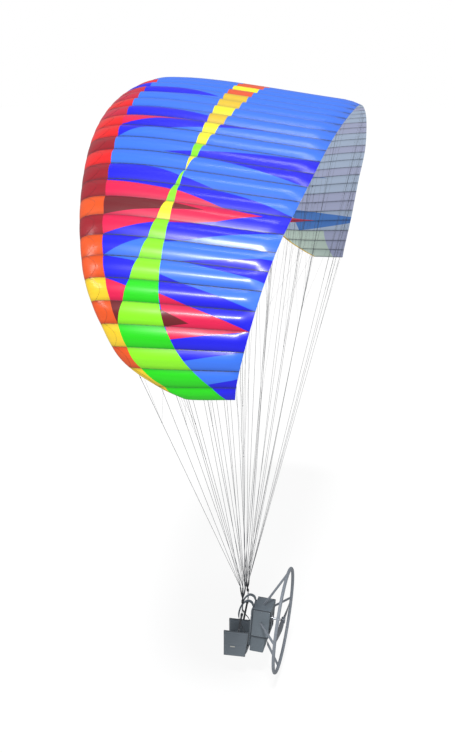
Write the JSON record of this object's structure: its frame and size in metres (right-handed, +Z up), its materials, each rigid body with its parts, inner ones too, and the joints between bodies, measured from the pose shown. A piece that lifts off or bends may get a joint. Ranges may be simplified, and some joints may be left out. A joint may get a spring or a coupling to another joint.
{
  "type": "powered paraglider",
  "caption": "Powered paraglider in flight shape: arched cell canopy on lines and risers, with a seat, a motor pack, a ring cage and a two-blade propeller below.",
  "frame": {"origin": "inside the middle of the canopy, on the chord line of the centre rib", "axes": "+X forward, +Y to the pilot's left, +Z up"},
  "size_m": [2.7947, 9.0228, 8.0135],
  "materials": {
    "canopy_cloth": "coated ripstop nylon in blues, reds, greens and yellows, slightly glossy",
    "line": "sheathed cord, dark grey",
    "webbing": "woven dark webbing",
    "steel": "brushed",
    "seat_cloth": "heavy woven cloth, blue-grey",
    "motor_housing": "satin blue-grey paint",
    "tank_plastic": "moulded grey plastic",
    "cage_tube": "powder-coated grey tube",
    "propeller_blade": "dark moulded composite"
  },
  "bodies": {
    "wing": {"canopy_centre": "canopy_cloth", "canopy_inner_left": "canopy_cloth", "canopy_inner_right": "canopy_cloth", "canopy_middle_left": "canopy_cloth", "canopy_middle_right": "canopy_cloth", "canopy_outer_left": "canopy_cloth", "canopy_outer_right": "canopy_cloth", "canopy_tip_left": "canopy_cloth", "canopy_tip_right": "canopy_cloth", "lines_a_left": "line", "lines_a_right": "line", "lines_b_left": "line", "lines_b_right": "line", "lines_c_left": "line", "lines_c_right": "line", "brake_lines_left": "line", "brake_lines_right": "line", "riser_left": "webbing", "riser_right": "webbing", "carabiner_left": "steel", "carabiner_right": "steel"},
    "motor_unit": {"hang_web_left": "webbing", "hang_web_right": "webbing", "shoulder_strap_left": "seat_cloth", "shoulder_strap_right": "seat_cloth", "harness_back": "seat_cloth", "seat_base": "seat_cloth", "seat_side_left": "seat_cloth", "seat_side_right": "seat_cloth", "motor_block": "motor_housing", "fuel_tank": "tank_plastic", "cage_hoop": "cage_tube", "cage_strut_top": "cage_tube", "cage_strut_bottom": "cage_tube", "cage_strut_left": "cage_tube", "cage_strut_right": "cage_tube", "drive_shaft": "steel"},
    "propeller": {"propeller": "propeller_blade"}
  },
  "joints": [
    {"name": "motor_unit_swing", "type": "hinge", "parent": "wing", "child": "motor_unit", "pos_m": [-0.358, 0, -6.895], "axis": [0, 1, 0], "range_deg": [-12, 12]},
    {"name": "propeller_spin", "type": "hinge", "parent": "motor_unit", "child": "propeller", "pos_m": [-0.896, 0, -7.076], "axis": [0.9965, 0, 0.0837], "continuous": true}
  ]
}
